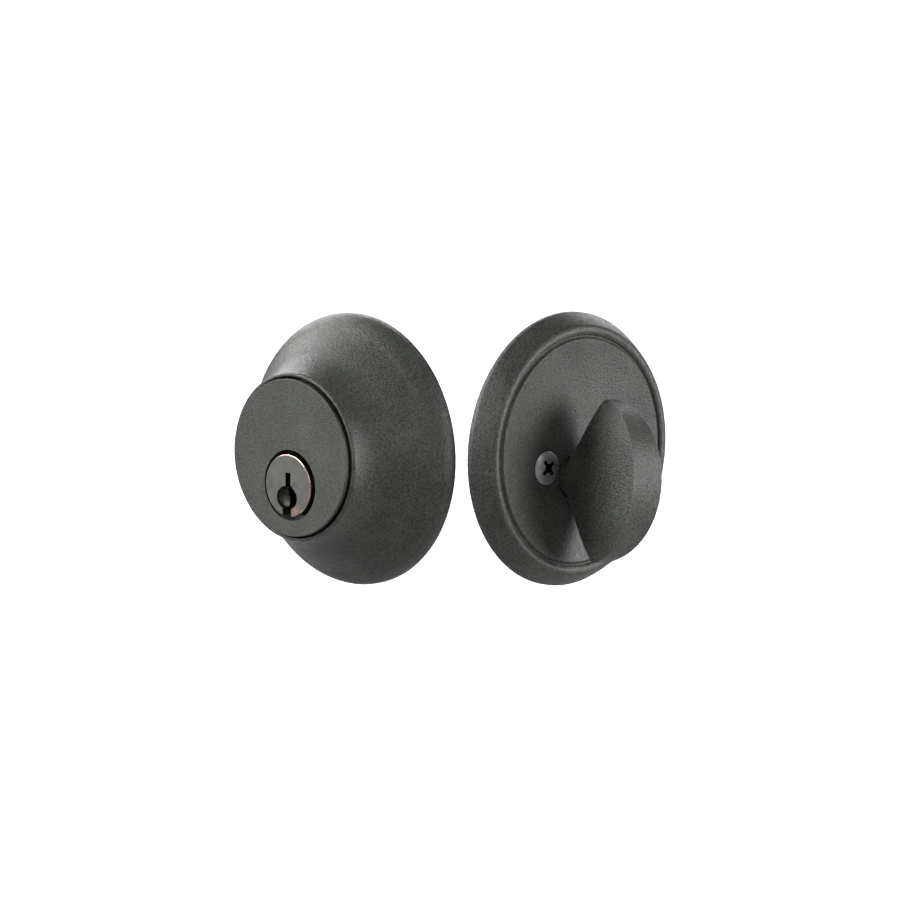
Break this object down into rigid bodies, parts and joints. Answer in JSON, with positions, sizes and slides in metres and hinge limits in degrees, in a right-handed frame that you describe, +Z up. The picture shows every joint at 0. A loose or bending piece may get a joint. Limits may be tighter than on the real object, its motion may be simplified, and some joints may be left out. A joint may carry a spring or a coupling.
{
  "type": "deadbolt door lock",
  "caption": "Keyed tubular deadbolt off the door: tapered outside trim with pin cylinder, round inside trim with thumbturn, and the drive-in bolt unit.",
  "frame": {"origin": "centre of the outside trim's seat, on the door's outer face", "axes": "+Z up; the outside trim faces -Y and its seat faces +Y; the inside trim stands square to it, faces +X, and its seat faces -X; the bolt unit points along -X +Y"},
  "size_m": [0.1452, 0.1051, 0.0676],
  "materials": {
    "textured_black": "pebbled matte black coat on die-cast metal",
    "plug_bronze": "dark bronze plate, smooth, worn to bright copper at the edge",
    "black_screw": "black oxide, semi-gloss",
    "brass": "machined",
    "zinc_steel": "zinc plated, satin",
    "spring_steel": "bright",
    "hard_steel": "hardened, grey",
    "nylon": "natural nylon"
  },
  "bodies": {
    "fixed_on_door": {"exterior_collar": "textured_black", "guard_ring": "hard_steel", "cylinder_housing": "textured_black", "spring_cover": "brass", "anti_drill_pin": "hard_steel", "mounting_post_lower": "brass", "mounting_post_upper": "brass", "driver_pin_1": "spring_steel", "driver_pin_2": "spring_steel", "driver_pin_3": "spring_steel", "driver_pin_4": "spring_steel", "driver_pin_5": "spring_steel", "pin_spring_1": "spring_steel", "pin_spring_2": "spring_steel", "pin_spring_3": "spring_steel", "pin_spring_4": "spring_steel", "pin_spring_5": "spring_steel", "interior_rose": "textured_black", "nylon_bush": "nylon", "mounting_plate": "zinc_steel", "trim_screw_left": "black_screw", "trim_screw_right": "black_screw", "through_bolt_lower": "zinc_steel", "through_bolt_upper": "zinc_steel", "bolt_tube": "zinc_steel", "drive_in_collar": "brass", "frame_plate_near": "zinc_steel", "frame_plate_far": "zinc_steel", "frame_rivet_1": "zinc_steel", "frame_rivet_2": "zinc_steel"},
    "plug": {"key_plug": "plug_bronze", "key_pin_1": "brass", "key_pin_2": "brass", "key_pin_3": "brass", "key_pin_4": "brass", "key_pin_5": "brass", "plug_clip": "spring_steel", "tail_cap": "brass"},
    "tail": {"tailpiece": "zinc_steel"},
    "turn": {"thumbturn": "textured_black", "thumbturn_spindle": "zinc_steel", "spindle_clip": "spring_steel"},
    "cam": {"hub_cam": "hard_steel"},
    "deadbolt": {"bolt": "brass", "saw_guard_pin": "hard_steel", "link_pin": "hard_steel", "bolt_bar": "hard_steel"}
  },
  "joints": [
    {"name": "thumbturn_turn", "type": "hinge", "parent": "fixed_on_door", "child": "turn", "pos_m": [0.036, 0.035, -0.0068], "axis": [-1, 0, 0], "range_deg": [0, 90]},
    {"name": "tailpiece_turn", "type": "hinge", "parent": "fixed_on_door", "child": "tail", "pos_m": [0, 0, -0.0068], "axis": [0, -1, 0], "range_deg": [0, 90]},
    {"name": "hub_cam_turn", "type": "hinge", "parent": "fixed_on_door", "child": "cam", "pos_m": [-0.02936, 0.02936, -0.0068], "axis": [-0.7071, -0.7071, 0], "range_deg": [0, 90]},
    {"name": "bolt_slide", "type": "slide", "parent": "fixed_on_door", "child": "deadbolt", "axis": [-0.7071, 0.7071, 0], "range_m": [0, 0.0254]},
    {"name": "key_turn", "type": "hinge", "parent": "fixed_on_door", "child": "plug", "pos_m": [0, 0, -0.0068], "axis": [0, 1, 0], "range_deg": [0, 90]}
  ],
  "couplings": [
    {"joint": "thumbturn_turn", "follows": "bolt_slide", "rad_per_m": 61.84},
    {"joint": "tailpiece_turn", "follows": "bolt_slide", "rad_per_m": 61.84},
    {"joint": "hub_cam_turn", "follows": "bolt_slide", "rad_per_m": 61.84}
  ]
}
